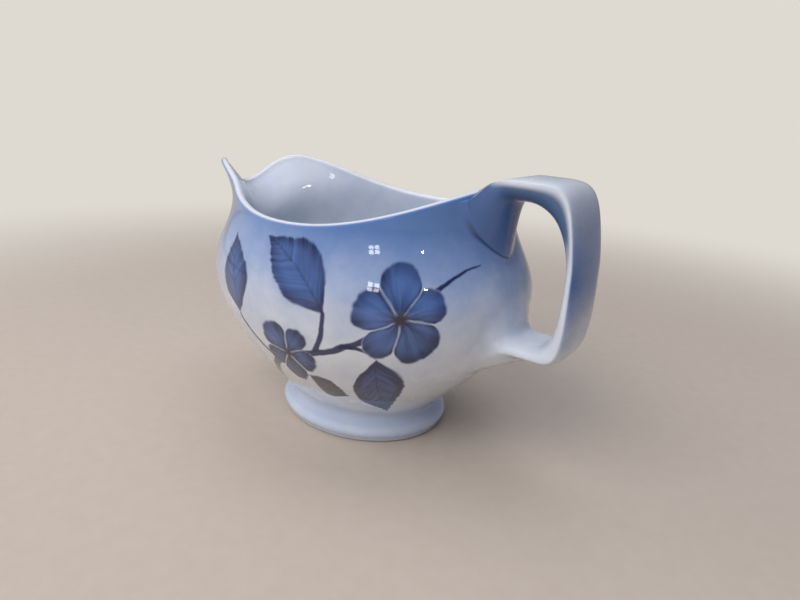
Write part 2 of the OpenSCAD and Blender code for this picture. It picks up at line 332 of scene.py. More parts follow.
# %% Make the bowl
POOL_SHADE_FADE, POOL_SHADE_TOP = 1.6, 0.6
below_rim = rim_z(turns) - bowl_rings[:, :, 2]
is_inside = np.arange(len(bowl_rings)) >= len(underside) + len(outside) + RIM_STEPS // 2
below_rim[is_inside] *= -1


def nearness(points, outline, fade):
    gap = np.full(points.shape[:2], np.inf)
    for y, z in outline:
        gap = np.minimum(gap, np.hypot(points[:, :, 1] - y, points[:, :, 2] - z))
    return np.where(points[:, :, 0] > 0, np.exp(-((gap / fade) ** 2)), 0.0)


# Pooled glaze and painted crease shade: a thin dark line along the tongue, where the crease's shadow falls.
tongue_line = upper_root[upper_root[:, 1] < mix(tongue_tip, upper_edge, POOL_SHADE_TOP)]
root_pool = nearness(bowl_rings, tongue_line, POOL_SHADE_FADE)
root_pool[is_inside] = 0.0
jug_bowl = skin(
    "jug_bowl",
    bowl_rings,
    first=[0, 0, WAIST_H],
    last=[0, 0, FLOOR_Z],
    marks={"below_rim": below_rim, "root_pool": root_pool},
)
settle(jug_bowl, "blue_glaze", "bowl")

# %% [markdown]
# ## The foot ring
# The foot is a low oval ring that the bowl stands on. Its flank flicks out below the waist and rounds under
# to a narrow flat land, which the potter wipes free of glaze so that the jug doesn't stick in the kiln.
# It is a closed row of ovals, so the helper joins the last ring back to the first.

# %% Make the foot ring
FOOT_L, FOOT_W, FOOT_SWELL, FOOT_LAND, FOOT_EDGE_R, FOOT_SEAT = 53.0, 45.0, 1.2, 2.4, 1.2, 5.0
FLANK_FLICK, FLANK_STEPS, EDGE_STEPS, HOLLOW_STEPS = 0.7, 18, 8, 8
foot_top = WAIST_H - LUTE_T


def oval(long, wide, z):
    return np.stack([long / 2 * np.cos(turns), wide / 2 * np.sin(turns), np.full(AROUND, z)], axis=-1)


def foot_flank(s):
    out = np.sin(np.pi / 2 * s) ** FLANK_FLICK
    swollen = 2 * FOOT_SWELL * np.sin(np.pi * s)
    long = mix(WAIST_L, FOOT_L, out) + swollen
    wide = mix(WAIST_W, FOOT_W, out) + swollen
    return oval(long, wide, mix(foot_top, FOOT_EDGE_R, s))


def foot_edge(q):
    inset = 2 * FOOT_EDGE_R * (1 - np.cos(q))
    return oval(FOOT_L - inset, FOOT_W - inset, FOOT_EDGE_R * (1 - np.sin(q)))


land_inset = 2 * (FOOT_EDGE_R + FOOT_LAND)
land_inner = oval(FOOT_L - land_inset, FOOT_W - land_inset, 0.0)
seat_inner = oval(WAIST_L - 2 * FOOT_SEAT, WAIST_W - 2 * FOOT_SEAT, foot_top)
foot_rings = [foot_flank(s) for s in np.linspace(0, 1, FLANK_STEPS + 1)]
foot_rings += [foot_edge(q) for q in np.pi / 2 * np.arange(1, EDGE_STEPS + 1) / EDGE_STEPS]
foot_rings += [mix(land_inner, seat_inner, s) for s in np.linspace(0, 1, HOLLOW_STEPS + 1)]
jug_foot_ring = skin("jug_foot_ring", foot_rings, hoop=True)
settle(jug_foot_ring, "foot_glaze", "foot_ring")

# %% [markdown]
# ## The handle
# The strap's rings are joined to the outlines on the wall through a hollow blend: the section shrinks
# quickly at first and slowly later, as a fillet does when wet clay is smoothed with a finger. The blend is
# more hollow on the inner face, where the finger goes. Two marks say how far a point is from a root and how
# far it is turned to the outer face, so that the sprayed blue can follow the strap. Both root ends are
# creased, because the slip beads carry the surface on from there.

# %% The rings of the handle
ROOT_STEPS, BEND_STEPS, CAP_SHARES = 26, 40, (0.35, 0.7)


def root_ring(root, strap, t, hollow):
    spread = (1 - t) ** hollow
    x = mix(root[:, 0], strap[:, 0], t)
    y = mix(strap[:, 1], root[:, 1], spread)
    z = mix(strap[:, 2], root[:, 2], spread)
    return np.stack([x, y, z], axis=-1)


outwards = (1 + np.sin(strap_turns)) / 2
upper_hollow = mix(TONGUE_INNER_HOLLOW, TONGUE_OUTER_HOLLOW, outwards)
lower_hollow = mix(LOWER_INNER_HOLLOW, LOWER_OUTER_HOLLOW, outwards)
upper_end = on_wall(upper_root, upper_mid, 1.0, HANDLE_LIFT)
lower_end = on_wall(lower_root, lower_mid, 1.0, HANDLE_LIFT)
root_shares = np.arange(1, ROOT_STEPS) / ROOT_STEPS
quarter = np.pi / 2 * np.arange(BEND_STEPS + 1) / BEND_STEPS
strap_rings = [on_wall(upper_root, upper_mid, s, HANDLE_LIFT) for s in CAP_SHARES]
strap_rings += [upper_end]
strap_rings += [root_ring(upper_end, upper_strap(0.0), t, upper_hollow) for t in root_shares]
strap_rings += [upper_strap(q) for q in quarter]
strap_rings += [lower_strap(q) for q in quarter[1:]]
strap_rings += [root_ring(lower_end, lower_strap(np.pi / 2), t, lower_hollow) for t in root_shares[::-1]]
strap_rings += [lower_end]
strap_rings += [on_wall(lower_root, lower_mid, s, HANDLE_LIFT) for s in CAP_SHARES[::-1]]
print("the handle is", len(strap_rings), "rings of", STRAP_AROUND, "points")

# %% Make the handle
outer_face = signed_pow(np.sin(strap_turns), 2 / STRAP_SQUARE)
at_root = np.zeros(len(CAP_SHARES) + 1)
on_strap = np.ones(2 * BEND_STEPS + 1)
from_root = np.concatenate([at_root, root_shares, on_strap, root_shares[::-1], at_root])
jug_handle = skin(
    "jug_handle",
    strap_rings,
    first=[wall_x(*upper_mid) + HANDLE_LIFT, *upper_mid],
    last=[wall_x(*lower_mid) + HANDLE_LIFT, *lower_mid],
    marks={"outer_face": outer_face, "from_root": from_root[:, None]},
    creases=(len(CAP_SHARES), len(strap_rings) - 1 - len(CAP_SHARES)),
)
settle(jug_handle, "handle_glaze", "handle")

# %% [markdown]
# ## The slip in the seams
# Handle and foot are stuck on with slip, and the potter wipes the squeezed-out slip into a small fillet.
# Three slim beads do this job: each follows a seam, starts flat on the wall, rises in a hollow curve and
# ends on the handle or the foot. They are real geometry, because a line of bump can't throw the soft shadow
# of a seam. Along the tongue, a mark says where pooled glaze and a painted crease shade draw a thin dark
# line.

# %% Helpers for the beads
BEAD_STEPS, RIM_CLEARANCE, TANGENT_STEP, LEAST_CLIMB = 12, 0.05, 0.02, 1e-3


def hollow_curve(start, corner, end):
    steps = np.linspace(0, 1, BEAD_STEPS + 1)
    return [start * (1 - t) ** 2 + corner * 2 * t * (1 - t) + end * t**2 for t in steps]


def bead(name, curve, hidden, node, **marks):
    edges = (0, BEAD_STEPS, BEAD_STEPS + 1)
    piece = skin(name, curve + [hidden], hoop=True, marks=marks, creases=edges)
    settle(piece, "slip", node)
    return piece


def down_to_wall(points):
    y = points[:, 1]
    z = np.minimum(points[:, 2], under_rim(y) + RIM_GAP - RIM_CLEARANCE)
    return np.stack([wall_x(y, z), y, z], axis=-1)


def lift_of(points):
    return points[:, 0] - wall_x(points[:, 1], points[:, 2])


def root_curve(root_end, mid, strap, hollow, widest):
    climb = root_ring(root_end, strap, TANGENT_STEP, hollow) - root_end
    gained = np.maximum(lift_of(root_end + climb) - HANDLE_LIFT, LEAST_CLIMB)
    width = np.minimum(HANDLE_LIFT / gained * np.linalg.norm(climb, axis=1), widest / 2)
    outward = root_end - [0, *mid]
    outward[:, 0] = 0
    outward *= (width / np.linalg.norm(outward, axis=1))[:, None]
    return hollow_curve(down_to_wall(root_end + 2 * outward), down_to_wall(root_end + outward), root_end)


print("each bead is a hollow curve of", BEAD_STEPS, "steps")

# %% The bead around the tongue
HIDDEN_SHARE, POOL_SHADE_FROM, POOL_SHADE_FULL, POOL_SHADE_AT, POOL_SHADE_SPREAD = 0.85, 0.82, 0.4, 0.76, 0.17
TIP_WIDTH, FLANK_WIDTH, CORNER_WIDTH, RIM_WIDTH, CORNER_FADE = 1.4, 2.2, 3.0, 0.5, 6
tongue_share = np.clip((upper_root[:, 1] - tongue_tip) / (upper_edge - tongue_tip), 0, 1)
at_corner = np.where(upper_half, np.abs(np.cos(strap_turns)) ** CORNER_FADE, 1.0)
upper_widest = mix(TIP_WIDTH, mix(RIM_WIDTH, CORNER_WIDTH, at_corner), tongue_share)
upper_widest += FLANK_WIDTH * np.sin(np.pi * tongue_share)
upper_curve = root_curve(upper_end, upper_mid, upper_strap(0.0), upper_hollow, upper_widest)
bead_shares = np.linspace(0, 1, BEAD_STEPS + 2)[:, None]
# The bead carries the same pooled glaze and painted crease shade along the tongue.
low_on_tongue = np.clip((POOL_SHADE_FROM - tongue_share) / (POOL_SHADE_FROM - POOL_SHADE_FULL), 0, 1)
upper_pool_and_shade = np.exp(-(((bead_shares - POOL_SHADE_AT) / POOL_SHADE_SPREAD) ** 2)) * low_on_tongue
upper_hidden = on_wall(upper_root, upper_mid, HIDDEN_SHARE, 0.0)
upper_bead = bead("upper_slip_bead", upper_curve, upper_hidden, "upper_handle_lute", root_pool=upper_pool_and_shade)

# %% The beads around the lobe and the foot
LOBE_WIDTH, FOOT_BEAD_RISE, FOOT_BEAD_DROP = 4.0, 2.2, 0.24
lower_curve = root_curve(lower_end, lower_mid, lower_strap(np.pi / 2), lower_hollow, LOBE_WIDTH)
lower_hidden = on_wall(lower_root, lower_mid, HIDDEN_SHARE, 0.0)
lower_bead = bead("lower_slip_bead", lower_curve, lower_hidden, "lower_handle_lute")

bead_top = wall_point(turns, WAIST_H + FOOT_BEAD_RISE)
waist_ring = wall_point(turns, WAIST_H)
foot_curve = hollow_curve(bead_top, waist_ring, foot_flank(FOOT_BEAD_DROP))
foot_hidden = oval(WAIST_L - 2 * FOOT_SEAT, WAIST_W - 2 * FOOT_SEAT, WAIST_H - LUTE_T / 2)
foot_bead = bead("foot_slip_bead", foot_curve, foot_hidden, "foot_lute")

# %% [markdown]
# ## Helpers for materials
# A material is a small network of nodes. A few helpers keep the networks short to read. They feed a socket
# from a number or from another node, make a Math node, ease a value from 0 to 1 between two limits, mix
# colours, read a mark from the mesh, lay a noise over the surface, and build or place a group. Colours are
# written as they look on a screen, from 0 to 255, and changed to linear light.

# %% Colours and numbers in nodes
TOE_END, TOE_SLOPE, CURVE_OFFSET, CURVE_POWER = 0.04045, 12.92, 0.055, 2.4


def srgb(red, green, blue):
    shares = np.array([red, green, blue]) / 255
    curve = ((shares + CURVE_OFFSET) / (1 + CURVE_OFFSET)) ** CURVE_POWER
    linear = np.where(shares <= TOE_END, shares / TOE_SLOPE, curve)
    return (*linear.tolist(), 1.0)


def feed(tree, socket, source):
    if isinstance(source, bpy.types.NodeSocket):
        tree.links.new(source, socket)
    else:
        socket.default_value = source


def calc(tree, operation, a, b=0.0, c=0.0):
    node = tree.nodes.new("ShaderNodeMath")
    node.operation = operation
    for socket, source in zip(node.inputs, (a, b, c)):
        feed(tree, socket, source)
    return node.outputs[0]


def ease(tree, source, start, end):
    node = tree.nodes.new("ShaderNodeMapRange")
    node.interpolation_type = "SMOOTHSTEP"
    feed(tree, node.inputs["Value"], source)
    feed(tree, node.inputs["From Min"], start)
    feed(tree, node.inputs["From Max"], end)
    return node.outputs["Result"]


print("mid grey is", round(srgb(128, 128, 128)[0], 3), "in linear light")

# %% Layers, marks and noise in nodes
# A Mix node hides sockets for other kinds of data, so its colour sockets are found by number.
MIX_FACTOR, MIX_UNDER, MIX_OVER, MIX_RESULT = 0, 6, 7, 2
NOISE_MEAN = 0.5


def tint(tree, factor, under, over):
    node = tree.nodes.new("ShaderNodeMix")
    node.data_type = "RGBA"
    feed(tree, node.inputs[MIX_FACTOR], factor)
    feed(tree, node.inputs[MIX_UNDER], under)
    feed(tree, node.inputs[MIX_OVER], over)
    return node.outputs[MIX_RESULT]


def veil(tree, mask, share, under, over):
    return tint(tree, calc(tree, "MULTIPLY", mask, share), under, over)


def mark(tree, name):
    node = tree.nodes.new("ShaderNodeAttribute")
    node.attribute_name = name
    return node.outputs["Fac"]


def noise(tree, place, scale, detail=2.0, roughness=0.5):
    node = tree.nodes.new("ShaderNodeTexNoise")
    tree.links.new(place, node.inputs["Vector"])
    node.inputs["Scale"].default_value = scale
    node.inputs["Detail"].default_value = detail
    node.inputs["Roughness"].default_value = roughness
    return node.outputs["Fac"]


def drifting(tree, source, reach, base):
    return calc(tree, "MULTIPLY_ADD", calc(tree, "SUBTRACT", source, NOISE_MEAN), reach, base)


print("a noise swings about", NOISE_MEAN)


# %% Node groups
def new_group(name, inputs, outputs):
    tree = bpy.data.node_groups.new(name, "ShaderNodeTree")
    for label, start in inputs.items():
        socket = tree.interface.new_socket(label, in_out="INPUT", socket_type="NodeSocketFloat")
        socket.default_value = start
    for label in outputs:
        tree.interface.new_socket(label, in_out="OUTPUT", socket_type="NodeSocketFloat")
    start = tree.nodes.new("NodeGroupInput")
    end = tree.nodes.new("NodeGroupOutput")
    return tree, start.outputs, end.inputs


def place_group(tree, group, **values):
    node = tree.nodes.new("ShaderNodeGroup")
    node.node_tree = group
    for label, source in values.items():
        feed(tree, node.inputs[label.replace("_", " ")], source)
    return node.outputs


# %% [markdown]
# ## Where on the wall: a shared group
# Painting needs flat coordinates. This group turns a point of the jug into millimetres around the wall,
# measured from the lip with the side seen first counted as positive, and millimetres of height. A slight
# wobble is mixed in for the brush, because a hand-drawn edge is never quite true.

# %% The wall_place group
PAINT_RADIUS, WOBBLE_SCALE, WOBBLE = 45.0, 210.0, 1.2
STREAK_SCALE, STREAK_DETAIL, STREAK_ROUGHNESS = 900.0, 4.0, 0.65
WALL_OUTPUTS = ["Around", "Height", "Brush Around", "Brush Height", "Streak"]
wall_place, _, wall_out = new_group("wall_place", {}, WALL_OUTPUTS)
seat = wall_place.nodes.new("ShaderNodeTexCoord").outputs["Object"]
axes = wall_place.nodes.new("ShaderNodeSeparateXYZ")
wall_place.links.new(seat, axes.inputs[0])
side = calc(wall_place, "MULTIPLY", axes.outputs["Y"], -1 / (BOWL_W / 2 * MM))
ahead = calc(wall_place, "MULTIPLY", axes.outputs["X"], -1 / (BOWL_L / 2 * MM))
around = calc(wall_place, "MULTIPLY", calc(wall_place, "ARCTAN2", side, ahead), PAINT_RADIUS)
height = calc(wall_place, "MULTIPLY", axes.outputs["Z"], 1 / MM)
shake = wall_place.nodes.new("ShaderNodeTexNoise")
wall_place.links.new(seat, shake.inputs["Vector"])
shake.inputs["Scale"].default_value = WOBBLE_SCALE
shake_parts = wall_place.nodes.new("ShaderNodeSeparateXYZ")
wall_place.links.new(shake.outputs["Color"], shake_parts.inputs[0])
for label, base, part in (("Around", around, "X"), ("Height", height, "Y")):
    wall_place.links.new(base, wall_out[label])
    brushed = drifting(wall_place, shake_parts.outputs[part], WOBBLE, base)
    wall_place.links.new(brushed, wall_out["Brush " + label])
streak = noise(wall_place, seat, STREAK_SCALE, STREAK_DETAIL, STREAK_ROUGHNESS)
wall_place.links.new(streak, wall_out["Streak"])
print("wall_place has", len(wall_place.nodes), "nodes")

# %% [markdown]
# ## The glaze: a shared group
# A fired glaze is nearly a mirror, but not quite: it has a faint orange-peel skin, long soft undulations
# from the body below, and here and there a tiny iron speck. The group puts out the height for a Bump node,
# a roughness that drifts a little, a mottle for the colour and a mask of specks. All four materials use it
# with the same values, as all pieces were dipped in one bucket.

# %% The glaze_skin group
PEEL_SCALE, PEEL_SHARE, WAVE_SCALE = 1500.0, 0.06, 70.0
GLOSS_SCALE, GLOSS_DRIFT, GLOSS_LEAST = 180.0, 0.12, 0.2
MOTTLE_SCALE, MOTTLE_DETAIL, MOTTLE_ROUGHNESS = 95.0, 4.0, 0.6
SPECK_SCALE, SPECK_EDGE, CLUSTER_SCALE, CLUSTER_FROM = 260.0, (0.07, 0.03), 40.0, 0.64
glaze_skin, _, glaze_out = new_group("glaze_skin", {}, ["Height", "Roughness", "Mottle", "Speck"])
seat = glaze_skin.nodes.new("ShaderNodeTexCoord").outputs["Object"]
peel = noise(glaze_skin, seat, PEEL_SCALE)
wave = noise(glaze_skin, seat, WAVE_SCALE, detail=1.0)
glaze_skin.links.new(calc(glaze_skin, "MULTIPLY_ADD", peel, PEEL_SHARE, wave), glaze_out["Height"])
gloss = noise(glaze_skin, seat, GLOSS_SCALE, detail=3.0)
roughness = calc(glaze_skin, "MULTIPLY_ADD", gloss, GLOSS_DRIFT, GLOSS_LEAST)
glaze_skin.links.new(roughness, glaze_out["Roughness"])
mottle = noise(glaze_skin, seat, MOTTLE_SCALE, MOTTLE_DETAIL, MOTTLE_ROUGHNESS)
glaze_skin.links.new(mottle, glaze_out["Mottle"])
cells = glaze_skin.nodes.new("ShaderNodeTexVoronoi")
glaze_skin.links.new(seat, cells.inputs["Vector"])
cells.inputs["Scale"].default_value = SPECK_SCALE
near = ease(glaze_skin, cells.outputs["Distance"], *SPECK_EDGE)
cluster = noise(glaze_skin, seat, CLUSTER_SCALE, detail=1.0)
chosen = calc(glaze_skin, "GREATER_THAN", cluster, CLUSTER_FROM)
glaze_skin.links.new(calc(glaze_skin, "MULTIPLY", near, chosen), glaze_out["Speck"])
print("glaze_skin has", len(glaze_skin.nodes), "nodes")

# %% [markdown]
# ## The sprayed blue: a shared group
# Before glazing, the upper part of the jug is sprayed with thinned cobalt. The spray is densest under the
# rim and on the handle's side, and fades to bare porcelain below the belly and towards the lip. Bowl,
# handle and beads share the group, so the colour runs on from one piece to the next.

# %% The blue_spray group
SPRAY_DRIFT, SPRAY_RISE = 9.0, (26.0, 69.0)
LIP_TO_SIDE, LIP_SHARE = (25.0, 85.0), 0.7
blue_spray, spray_in, spray_out = new_group(
    "blue_spray", {"Around": 90.0, "Height": 50.0, "Mottle": NOISE_MEAN}, ["Spray"]
)
fade = drifting(blue_spray, spray_in["Mottle"], SPRAY_DRIFT, spray_in["Height"])
rise = ease(blue_spray, fade, *SPRAY_RISE)
turned = ease(blue_spray, calc(blue_spray, "ABSOLUTE", spray_in["Around"]), *LIP_TO_SIDE)
towards = calc(blue_spray, "MULTIPLY_ADD", turned, 1 - LIP_SHARE, LIP_SHARE)
blue_spray.links.new(calc(blue_spray, "MULTIPLY", rise, towards), spray_out["Spray"])
print("blue_spray has", len(blue_spray.nodes), "nodes")


# %% [markdown]
# ## Painted motifs: leaf, blossom and twig
# The decoration is a plain flowering bough in cobalt, painted under the glaze with a full brush. Each motif
# is a node group that measures how far a point is inside its outline. A leaf is a pointed oval with a dark
# midrib and brush strokes along its veins; a blossom has five petals in polar coordinates; a twig is a
# tapering bent stroke. A group per motif means that the whole bough is a short list of places, turns and
# sizes.

# %% Local coordinates of a motif
MOTIF = {"Around": 0.0, "Height": 0.0, "At Around": 0.0, "At Height": 0.0, "Turn": 0.0}


def tools(tree):
    return partial(calc, tree), partial(ease, tree)


def motif_axes(tree, entry):
    do, _ = tools(tree)
    dx = do("SUBTRACT", entry["Around"], entry["At Around"])
    dy = do("SUBTRACT", entry["Height"], entry["At Height"])
    cos, sin = do("COSINE", entry["Turn"]), do("SINE", entry["Turn"])
    x = do("MULTIPLY_ADD", dx, cos, do("MULTIPLY", dy, sin))
    y = do("SUBTRACT", do("MULTIPLY", dy, cos), do("MULTIPLY", dx, sin))
    return x, y


def strokes(tree, first, second, third):
    place = tree.nodes.new("ShaderNodeCombineXYZ")
    for socket, source in zip(place.inputs, (first, second, third)):
        feed(tree, socket, source)
    return calc(tree, "SUBTRACT", noise(tree, place.outputs[0], scale=1.0), NOISE_MEAN)


print("every motif is placed by", list(MOTIF))

# %% The painted_leaf group
BLEED, LEAF_BOW, STROKE_FINE, STROKE_LONG = 0.5, 0.2, 0.6, 0.07
LEAF_POINT, LEAF_TAPER, LEAF_FULL, LEAF_RAGGED = 1.3, -0.3, 1.06, 1.2
LEAF_ENDS, LEAF_EDGE, LEAF_TIPS, MIDRIB = (0.0, 0.05), (4.2, 0.2), (0.25, 1.0), (0.5, 0.1)
LEAF_WASH, EDGE_INK, TIP_INK, RIB_INK, LEAF_STROKES = 0.36, 0.45, 0.35, 0.22, 1.3
painted_leaf, entry, leaf_out = new_group(
    "painted_leaf", {**MOTIF, "Length": 18.0, "Width": 6.0}, ["Mask", "Depth"]
)
do, soft = tools(painted_leaf)
x, y = motif_axes(painted_leaf, entry)
t = do("DIVIDE", x, do("MULTIPLY", entry["Length"], 0.5))
tt = do("MULTIPLY", t, t)
y = do("SUBTRACT", y, do("MULTIPLY", do("MULTIPLY", tt, entry["Width"]), LEAF_BOW))
off = do("ABSOLUTE", y)
along_veins = do("MULTIPLY", do("SUBTRACT", x, off), STROKE_FINE)
brush = strokes(painted_leaf, along_veins, do("MULTIPLY", y, STROKE_LONG), entry["At Around"])
round_off = do("MAXIMUM", do("SUBTRACT", 1.0, tt), 0.0)
taper = do("MULTIPLY_ADD", t, LEAF_TAPER, LEAF_FULL)
half_width = do("MULTIPLY", do("POWER", round_off, LEAF_POINT), taper)
half_width = do("MULTIPLY", half_width, do("MULTIPLY", entry["Width"], 0.5))
within = do("SUBTRACT", do("MULTIPLY_ADD", brush, LEAF_RAGGED, half_width), off)
mask = do("MULTIPLY", soft(within, -BLEED, BLEED), soft(round_off, *LEAF_ENDS))
depth = do("MULTIPLY_ADD", soft(within, *LEAF_EDGE), EDGE_INK, LEAF_WASH)
depth = do("MULTIPLY_ADD", soft(tt, *LEAF_TIPS), TIP_INK, depth)
depth = do("MULTIPLY_ADD", soft(off, *MIDRIB), RIB_INK, depth)
depth = do("MULTIPLY_ADD", brush, LEAF_STROKES, depth)
painted_leaf.links.new(mask, leaf_out["Mask"])
painted_leaf.links.new(depth, leaf_out["Depth"])
print("painted_leaf has", len(painted_leaf.nodes), "nodes")

# %% The painted_blossom group: its outline
PETALS, RAYS, UNEVEN_TURNS, UNEVEN_TURN, UNEVEN_REACH = 5, 3.4, 2.0, 0.16, 0.06
PETAL_ROUND, PETAL_REACH, PETAL_CLEFT, PETAL_RAGGED = 0.5, 0.4, 0.54, 1.6
painted_blossom, entry, blossom_out = new_group(
    "painted_blossom", {**MOTIF, "Radius": 9.0}, ["Cover", "Mask", "Depth", "Heart"]
)
do, soft = tools(painted_blossom)
x, y = motif_axes(painted_blossom, entry)
apart = do("SQRT", do("MULTIPLY_ADD", x, x, do("MULTIPLY", y, y)))
far = do("DIVIDE", apart, entry["Radius"])
angle = do("ARCTAN2", y, x)
sway = do("SINE", do("MULTIPLY_ADD", angle, UNEVEN_TURNS, entry["At Around"]))
bent = do("MULTIPLY_ADD", sway, UNEVEN_TURN, angle)
petal = do("ABSOLUTE", do("COSINE", do("MULTIPLY", bent, PETALS / 2)))
ray_x, ray_y = (do("MULTIPLY", do("DIVIDE", part, apart), RAYS) for part in (x, y))
brush = strokes(painted_blossom, ray_x, ray_y, do("ADD", far, entry["At Around"]))
outline = do("MULTIPLY_ADD", do("POWER", petal, PETAL_ROUND), PETAL_REACH, PETAL_CLEFT)
outline = do("MULTIPLY_ADD", sway, UNEVEN_REACH, outline)
within = do("MULTIPLY", do("SUBTRACT", outline, far), entry["Radius"])
within = do("MULTIPLY_ADD", brush, PETAL_RAGGED, within)
cover = soft(within, -BLEED, BLEED)
print("a blossom has", PETALS, "petals")

# %% The painted_blossom group: its ink
PETAL_GAP, GAP_INK = (0.0, 1.2), 0.4
PETAL_EDGE, PETAL_THROAT, PETAL_SIDES = (4.4, 0.2), (0.5, 0.12), (3.0, 0.6)
PETAL_WASH, RIM_INK, THROAT_INK, SIDE_INK, PETAL_STROKES = 0.27, 0.48, 0.35, 0.25, 1.5
THREADS, THREAD_EDGE, THREAD_REACH, THREAD_INK, HEART_EDGE = 5.5, (0.9, 0.3), (0.36, 0.28), 0.6, (0.18, 0.07)
between = do("MULTIPLY", petal, apart)
mask = do("MULTIPLY", cover, do("MULTIPLY_ADD", soft(between, *PETAL_GAP), 1 - GAP_INK, GAP_INK))
depth = do("MULTIPLY_ADD", soft(within, *PETAL_EDGE), RIM_INK, PETAL_WASH)
depth = do("MULTIPLY_ADD", soft(far, *PETAL_THROAT), THROAT_INK, depth)
depth = do("MULTIPLY_ADD", soft(between, *PETAL_SIDES), SIDE_INK, depth)
depth = do("MULTIPLY_ADD", brush, PETAL_STROKES, depth)
threads = do("MULTIPLY", do("ABSOLUTE", do("SINE", do("MULTIPLY", angle, THREADS))), apart)
threads = do("MULTIPLY", soft(threads, *THREAD_EDGE), soft(far, *THREAD_REACH))
heart = do("MAXIMUM", do("MULTIPLY", threads, THREAD_INK), soft(far, *HEART_EDGE))
for label, source in (("Cover", cover), ("Mask", mask), ("Depth", depth), ("Heart", heart)):
    painted_blossom.links.new(source, blossom_out[label])
print("painted_blossom has", len(painted_blossom.nodes), "nodes")

# %% The painted_twig group
# The arch t(1 - t) is a quarter high in its middle, so four times it gives the bend its full size there.
ARCH_GAIN, TWIG_ENDS, TWIG_EDGE = 4.0, (-0.4, 0.4), (-0.25, 0.25)
painted_twig, entry, twig_out = new_group(
    "painted_twig", {**MOTIF, "Length": 20.0, "Bend": 1.0, "Width": 1.0, "Point": 0.6}, ["Mask"]
)
do, soft = tools(painted_twig)
x, y = motif_axes(painted_twig, entry)
t = do("DIVIDE", x, entry["Length"])
arch = do("MULTIPLY", do("MULTIPLY", t, do("SUBTRACT", 1.0, t)), ARCH_GAIN)
y = do("SUBTRACT", y, do("MULTIPLY", arch, entry["Bend"]))
slim = do("SUBTRACT", 1.0, do("MULTIPLY", t, entry["Point"]))
half_width = do("MULTIPLY", do("MULTIPLY", entry["Width"], 0.5), slim)
within = do("SUBTRACT", half_width, do("ABSOLUTE", y))
ends = do("MULTIPLY", soft(x, *TWIG_ENDS), soft(do("SUBTRACT", entry["Length"], x), *TWIG_ENDS))
painted_twig.links.new(do("MULTIPLY", soft(within, *TWIG_EDGE), ends), twig_out["Mask"])
print("painted_twig has", len(painted_twig.nodes), "nodes")

# %% [markdown]
# ## The bough as a list
# The bough rises from low on the lip side, crosses the belly and ends below the handle's tongue. The far
# side carries a smaller sprig. Twigs are given by their two ends, so that they meet where they should;
# leaves and blossoms by their middle. All places are millimetres around the wall and of height.

# %% Places of the motifs
TWIGS = [
    # from (around, height), to (around, height), bend, width, how far it tapers
    ((58, 14), (80, 31), 2.0, 2.4, 0.2),
    ((80, 31), (103, 43), -1.5, 2.0, 0.2),
    ((103, 43), (129, 57), 2.2, 1.9, 0.85),
    ((85, 33), (88, 45), -0.8, 1.5, 0.4),
    ((92, 36), (101, 34), 1.2, 1.4, 0.3),
    ((70, 25), (60, 37), 1.0, 1.4, 0.4),
    ((72, 25), (80, 23), -0.8, 1.3, 0.4),
    ((-104, 30), (-80, 42), 1.5, 1.8, 0.3),
    ((-80, 42), (-50, 52), -1.5, 1.4, 0.4),
    ((-78, 43), (-67, 36), 1.0, 1.2, 0.4),
    ((-97, 34), (-101, 41), 0.6, 1.2, 0.4),
    ((-95, 35), (-92, 28), -0.6, 1.2, 0.4),
]
LEAVES = [
    # middle (around, height), turn in degrees, length, width, brown
    ((80, 54), 142, 25, 13.0, False),
    ((103, 21), -68, 25, 15.0, False),
    ((59, 48), 108, 22, 11.0, False),
    ((86, 19), -26, 14, 7.5, True),
    ((-96, 49), 70, 20, 10.0, False),
    ((-62, 27), -50, 20, 10.0, False),
    ((-66, 55), 160, 18, 8.5, False),
    ((-98, 24), 230, 14, 7.5, True),
]
BLOSSOMS = [
    # middle (around, height), turn in degrees, radius
    ((106, 45), 20, 13.0),
    ((76, 30), 55, 10.0),
    ((-80, 42), 30, 11.0),
    ((-48, 53), 5, 6.0),
]
print(len(TWIGS), "twigs,", len(LEAVES), "leaves and", len(BLOSSOMS), "blossoms")

# %% [markdown]
# ## The glazed porcelain material
# Under the glaze lies the painted body, so a coated shader is the right one: the base carries the colour
# with a soft roughness, and the coat is the clear glass over it. One function makes the start of each
# material and connects the glaze group; the colour is then built up in layers, as it is on the pot.

# %% Colours of body, pigment and glaze
PORCELAIN = srgb(222, 226, 232)
PORCELAIN_COOL = srgb(206, 214, 226)
RIM_WHITE_AND_HIGHLIGHT = srgb(230, 232, 240)
COBALT_SPRAY = srgb(86, 122, 182)
COBALT_HANDLE = srgb(54, 100, 164)
COBALT_DENSE_AND_SHADE = srgb(77, 100, 138)
COBALT_DEEP = srgb(16, 27, 76)
COBALT_WASH = srgb(74, 106, 168)
IRON_BROWN = srgb(52, 48, 60)
IRON_WASH = srgb(120, 116, 128)
POOLED_AND_SHADE = srgb(46, 66, 114)
SPECK_COLOUR = srgb(92, 88, 90)
print("porcelain in linear light:", [round(part, 2) for part in PORCELAIN])

# %% Start a glazed material
COAT_ROUGHNESS, GLAZE_IOR, BODY_SHEEN = 0.035, 1.5, 0.1
BUMP_STRENGTH, BUMP_DISTANCE = 0.35, 0.0002


